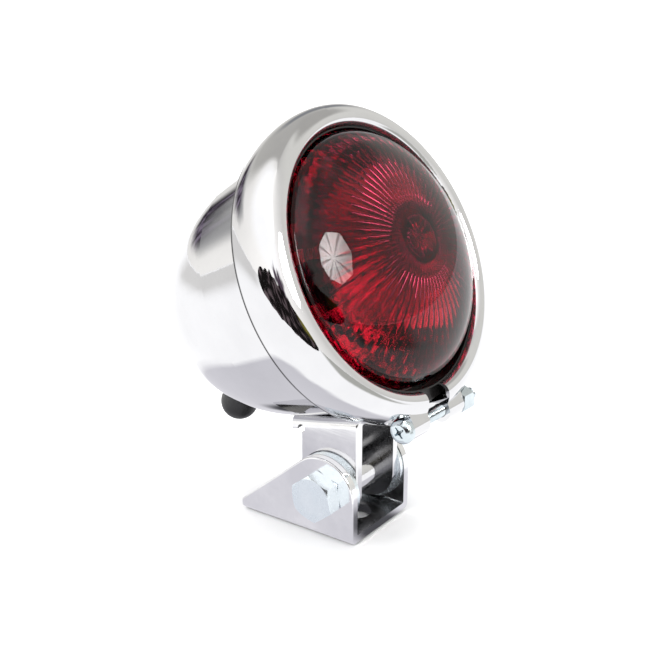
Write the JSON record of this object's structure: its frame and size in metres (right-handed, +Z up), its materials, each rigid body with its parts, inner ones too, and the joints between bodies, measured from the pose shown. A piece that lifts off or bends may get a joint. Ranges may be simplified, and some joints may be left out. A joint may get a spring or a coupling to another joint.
{
  "type": "motorcycle tail light",
  "caption": "Round bullet tail light with a domed red lens, clamp-on bezel and bulb, on a tilting two-piece bracket.",
  "frame": {"origin": "centre of the fender bolt hole, on the underside of the lower bracket's base", "axes": "+Z up out of the base, -Y the way the lens faces, +X to the right seen from the lens side"},
  "size_m": [0.0718, 0.071, 0.0966],
  "materials": {
    "chrome": "polished chrome plate",
    "zinc": "bright zinc plate",
    "stainless": "plain spring steel",
    "red_lens": "transparent deep red, glossy",
    "black_rubber": "matt black",
    "metallised": "bright metallised coating",
    "bulb_glass": "clear",
    "nickel": "nickel plate",
    "solder": "dull solder",
    "tungsten": "dark wire",
    "brass": "satin",
    "fibre": "brown insulating board"
  },
  "bodies": {
    "bracket": {"lower_bracket": "chrome", "pivot_bolt": "zinc", "pivot_nut": "zinc", "spring_washer": "zinc", "friction_washers": "zinc", "spacer_tube": "chrome"},
    "lamp_head": {"upper_bracket": "chrome", "bracket_rivets": "zinc", "earth_tag": "brass", "housing": "chrome", "cable_grommet": "black_rubber", "bezel_ring": "chrome", "clamp_screw": "zinc", "clamp_nut": "zinc", "lens": "red_lens", "lens_seal": "black_rubber", "housing_gasket": "black_rubber", "reflector": "metallised", "socket_shell": "nickel", "contact_spring": "stainless", "socket_insulator": "fibre", "socket_terminals": "brass"},
    "bulb": {"bulb_glass": "bulb_glass", "bulb_cap": "nickel", "bulb_contacts": "solder", "bulb_filaments": "tungsten"},
    "contact_plunger": {"contact_block": "fibre", "contact_studs": "brass"}
  },
  "joints": [
    {"name": "lamp_tilt", "type": "hinge", "parent": "bracket", "child": "lamp_head", "pos_m": [0, 0.002, 0.0109], "axis": [1, 0, 0], "range_deg": [-25, 50]},
    {"name": "bulb_push", "type": "slide", "parent": "lamp_head", "child": "bulb", "axis": [0, 0.8829, -0.4695], "range_m": [0, 0.002], "stiffness_N_per_m": 2000, "springref_m": -0.002},
    {"name": "contact_push", "type": "slide", "parent": "lamp_head", "child": "contact_plunger", "axis": [0, 0.8829, -0.4695], "range_m": [0, 0.002], "stiffness_N_per_m": 500, "springref_m": -0.002, "deforming": ["contact_spring"]}
  ],
  "couplings": [
    {"joint": "contact_push", "follows": "bulb_push", "ratio": 1}
  ]
}
